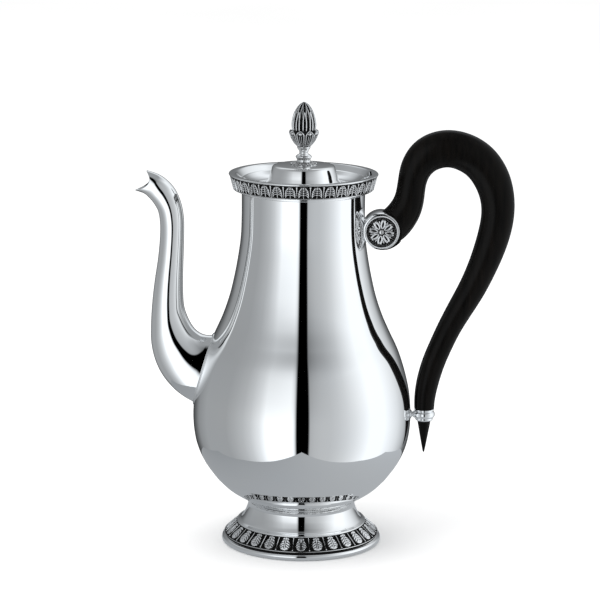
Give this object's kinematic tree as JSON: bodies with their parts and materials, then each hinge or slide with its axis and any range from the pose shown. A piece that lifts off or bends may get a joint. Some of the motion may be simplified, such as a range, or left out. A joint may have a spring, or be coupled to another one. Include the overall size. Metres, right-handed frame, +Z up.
{
  "type": "coffee pot",
  "caption": "Pear-shaped footed coffee pot with a swan-neck spout, a hinged dished lid with a bud finial, and a scroll handle of black wood.",
  "frame": {"origin": "on the table under the middle of the foot, where the pot's own axis meets the plane that the base ring stands on", "axes": "+Z up along the pot's axis, +X towards the handle, -X towards the spout, +Y away from the side shown with the spout on the left"},
  "size_m": [0.211, 0.1226, 0.25],
  "materials": {
    "polished_silver": "mirror-polished silver plate",
    "oxidised_silver": "polished relief on a blackened, oxidised ground",
    "ebony": "black wood, rubbed to a soft gloss"
  },
  "bodies": {
    "pot": {"body_shell": "polished_silver", "neck_moulding": "polished_silver", "mouth_collar": "polished_silver", "rim_leaf_band": "oxidised_silver", "spout": "polished_silver", "foot_pedestal": "polished_silver", "foot_leaf_border": "oxidised_silver", "foot_base_ring": "polished_silver", "hinge_knuckles": "polished_silver", "hinge_pin": "polished_silver", "handle_bracket": "polished_silver", "rosette_front": "oxidised_silver", "rosette_rear": "oxidised_silver", "rosette_rivet": "polished_silver", "bracket_dowel": "polished_silver", "handle_grip": "ebony", "lower_strut": "polished_silver", "handle_ring": "polished_silver", "handle_tip": "ebony", "tip_stud": "polished_silver"},
    "lid": {"lid_shell": "polished_silver", "lid_bezel": "polished_silver", "lid_knuckle": "polished_silver", "finial_rosette": "oxidised_silver", "finial_stem": "polished_silver", "finial_calyx": "oxidised_silver", "finial_cone": "oxidised_silver", "finial_stud": "polished_silver", "finial_washer": "polished_silver", "finial_nut": "polished_silver"}
  },
  "joints": [
    {"name": "lid_hinge", "type": "hinge", "parent": "pot", "child": "lid", "pos_m": [0.036, 0, 0.2083], "axis": [0, 1, 0], "range_deg": [0, 90]}
  ]
}
